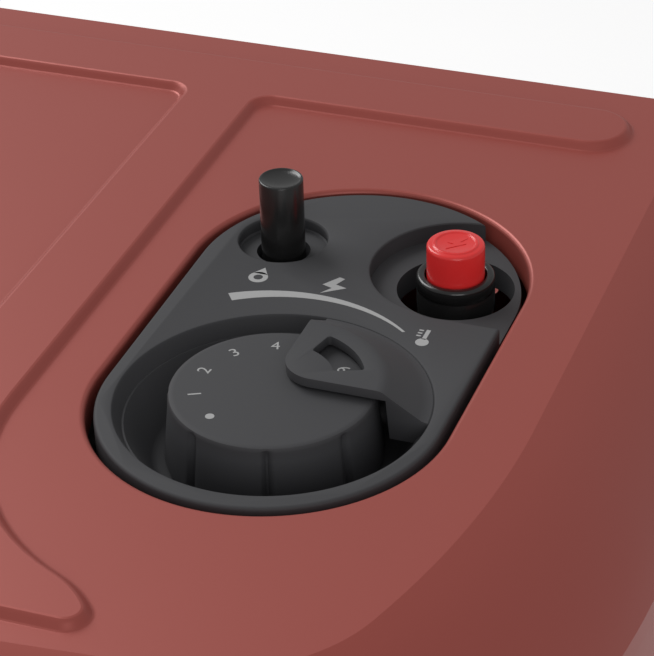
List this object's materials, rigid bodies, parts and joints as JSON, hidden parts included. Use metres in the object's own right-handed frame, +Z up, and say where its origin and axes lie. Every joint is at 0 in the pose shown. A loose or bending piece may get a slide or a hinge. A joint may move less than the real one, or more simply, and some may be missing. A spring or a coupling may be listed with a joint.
{
  "type": "infrared gas heater",
  "caption": "Cabinet gas heater on castors with radiant plaques behind a wire guard, a pressed steel top with knob, pilot and igniter controls, and a bottle space behind a hinged cover.",
  "frame": {"origin": "on the floor under the middle of the cabinet", "axes": "+Z up, front (burner side) towards -Y, +X to the side that carries the controls"},
  "size_m": [0.47, 0.4319, 0.7689],
  "materials": {
    "red_enamel": "satin",
    "dark_enamel": "satin",
    "chrome_wire": "bright",
    "aluminised_steel": "satin",
    "ceramic": "matt",
    "zinc_steel": "satin",
    "cast_alloy": "cast",
    "brass": "machined",
    "aluminium_tube": "drawn",
    "grained_plastic": "fine grain",
    "black_plastic": "gloss",
    "red_plastic": "gloss",
    "castor_plastic": "moulded"
  },
  "bodies": {
    "cabinet": {"top_panel": "red_enamel", "side_panel_left": "red_enamel", "side_panel_right": "red_enamel", "front_lower_panel": "red_enamel", "front_surround": "dark_enamel", "wire_guard": "chrome_wire", "reflector_box": "aluminised_steel", "burner_left": "aluminised_steel", "burner_centre": "aluminised_steel", "burner_right": "aluminised_steel", "plaque_left": "ceramic", "plaque_centre": "ceramic", "plaque_right": "ceramic", "gas_manifold": "zinc_steel", "injectors": "brass", "bulkhead": "aluminised_steel", "heat_deflector": "aluminised_steel", "base_pan": "dark_enamel", "rear_panel": "red_enamel", "hinge_case_leaves": "zinc_steel", "hinge_pins": "zinc_steel", "control_bezel": "grained_plastic", "valve_bracket": "aluminised_steel", "gas_valve": "cast_alloy", "feed_tube": "aluminium_tube", "pilot_tube": "aluminium_tube", "inlet_tube": "aluminium_tube", "hose_spigot": "brass", "pilot_bracket": "aluminised_steel", "pilot_burner": "brass", "thermocouple": "brass", "spark_electrode": "ceramic", "thermostat_bulb": "zinc_steel", "bulb_clips": "zinc_steel", "castor_plates": "zinc_steel", "case_screws": "zinc_steel", "bezel_screws": "zinc_steel", "igniter_body": "black_plastic", "igniter_nut": "zinc_steel"},
    "knob": {"control_knob": "grained_plastic", "knob_spindle": "zinc_steel"},
    "pilot": {"pilot_button": "black_plastic", "pilot_spindle": "zinc_steel", "pilot_spring": "zinc_steel"},
    "igniter": {"igniter_cap": "red_plastic", "igniter_spring": "zinc_steel"},
    "cover": {"rear_cover": "red_enamel", "hinge_cover_leaves": "zinc_steel"},
    "swivel_front_left": {"castor_fork_front_left": "castor_plastic", "castor_axle_front_left": "zinc_steel"},
    "wheel_front_left": {"castor_wheel_front_left": "castor_plastic"},
    "swivel_front_right": {"castor_fork_front_right": "castor_plastic", "castor_axle_front_right": "zinc_steel"},
    "wheel_front_right": {"castor_wheel_front_right": "castor_plastic"},
    "swivel_rear_left": {"castor_fork_rear_left": "castor_plastic", "castor_axle_rear_left": "zinc_steel"},
    "wheel_rear_left": {"castor_wheel_rear_left": "castor_plastic"},
    "swivel_rear_right": {"castor_fork_rear_right": "castor_plastic", "castor_axle_rear_right": "zinc_steel"},
    "wheel_rear_right": {"castor_wheel_rear_right": "castor_plastic"}
  },
  "joints": [
    {"name": "knob_turn", "type": "hinge", "parent": "cabinet", "child": "knob", "pos_m": [0.144, -0.0827, 0.752], "axis": [0, 0, 1], "range_deg": [-188, 6]},
    {"name": "pilot_press", "type": "slide", "parent": "cabinet", "child": "pilot", "axis": [0, 0, -1], "range_m": [0, 0.008], "stiffness_N_per_m": 600, "springref_m": -0.004, "deforming": ["pilot_spring"]},
    {"name": "igniter_press", "type": "slide", "parent": "cabinet", "child": "igniter", "axis": [0, 0, -1], "range_m": [0, 0.0055], "stiffness_N_per_m": 900, "springref_m": -0.004, "deforming": ["igniter_spring"]},
    {"name": "cover_swing", "type": "hinge", "parent": "cabinet", "child": "cover", "pos_m": [-0.2316, 0.0886, 0.37], "axis": [0, 0, 1], "range_deg": [0, 105]},
    {"name": "swivel_front_left", "type": "hinge", "parent": "cabinet", "child": "swivel_front_left", "pos_m": [-0.176, -0.146, 0.058], "axis": [0, 0, 1], "continuous": true},
    {"name": "roll_front_left", "type": "hinge", "parent": "swivel_front_left", "child": "wheel_front_left", "pos_m": [-0.158, -0.146, 0.025], "axis": [0, 1, 0], "continuous": true},
    {"name": "swivel_front_right", "type": "hinge", "parent": "cabinet", "child": "swivel_front_right", "pos_m": [0.176, -0.146, 0.058], "axis": [0, 0, 1], "continuous": true},
    {"name": "roll_front_right", "type": "hinge", "parent": "swivel_front_right", "child": "wheel_front_right", "pos_m": [0.194, -0.146, 0.025], "axis": [0, 1, 0], "continuous": true},
    {"name": "swivel_rear_left", "type": "hinge", "parent": "cabinet", "child": "swivel_rear_left", "pos_m": [-0.176, 0.146, 0.058], "axis": [0, 0, 1], "continuous": true},
    {"name": "roll_rear_left", "type": "hinge", "parent": "swivel_rear_left", "child": "wheel_rear_left", "pos_m": [-0.158, 0.146, 0.025], "axis": [0, 1, 0], "continuous": true},
    {"name": "swivel_rear_right", "type": "hinge", "parent": "cabinet", "child": "swivel_rear_right", "pos_m": [0.176, 0.146, 0.058], "axis": [0, 0, 1], "continuous": true},
    {"name": "roll_rear_right", "type": "hinge", "parent": "swivel_rear_right", "child": "wheel_rear_right", "pos_m": [0.194, 0.146, 0.025], "axis": [0, 1, 0], "continuous": true}
  ]
}
